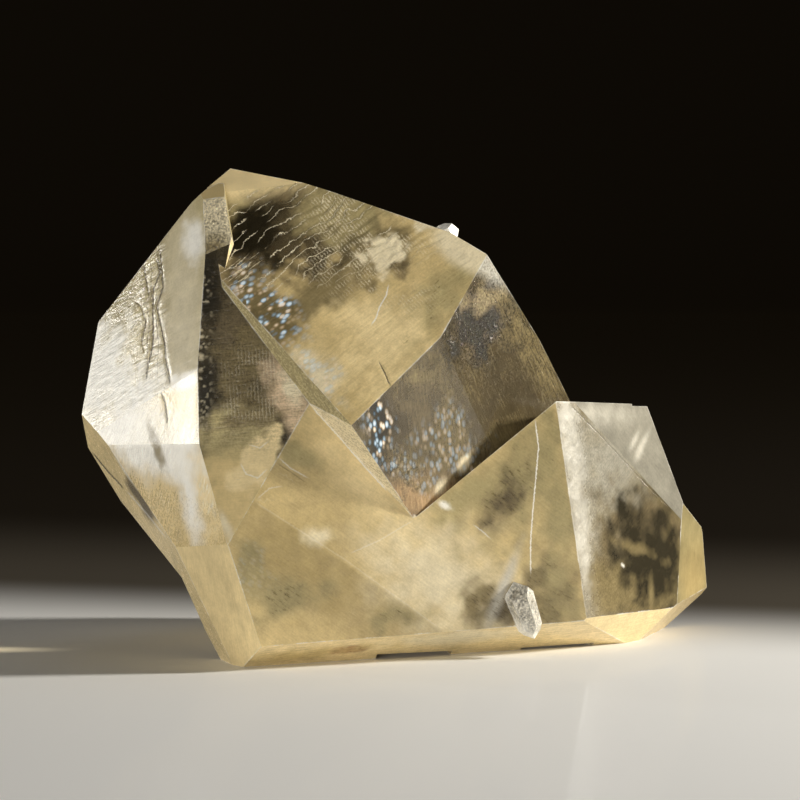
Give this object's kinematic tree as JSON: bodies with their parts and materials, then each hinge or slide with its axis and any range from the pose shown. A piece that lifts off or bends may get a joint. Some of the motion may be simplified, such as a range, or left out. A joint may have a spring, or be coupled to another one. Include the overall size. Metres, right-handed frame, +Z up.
{
  "type": "twinned calcite crystal specimen",
  "caption": "Clear golden calcite crystal with a second individual grown through its top, meeting in a V-shaped notch, on a flat worn foot.",
  "frame": {"origin": "centre of the bounding box in X and Y, on the ground under the foot", "axes": "+X to the right as the picture shows it, along the length; +Y away from the camera; +Z up"},
  "size_m": [0.0862, 0.0522, 0.0646],
  "materials": {
    "golden_calcite": "clear golden calcite with natural faces: glassy, with frosted and growth-lined zones and milky veils inside"
  },
  "bodies": {
    "root": {"calcite_twin": "golden_calcite"}
  },
  "joints": []
}
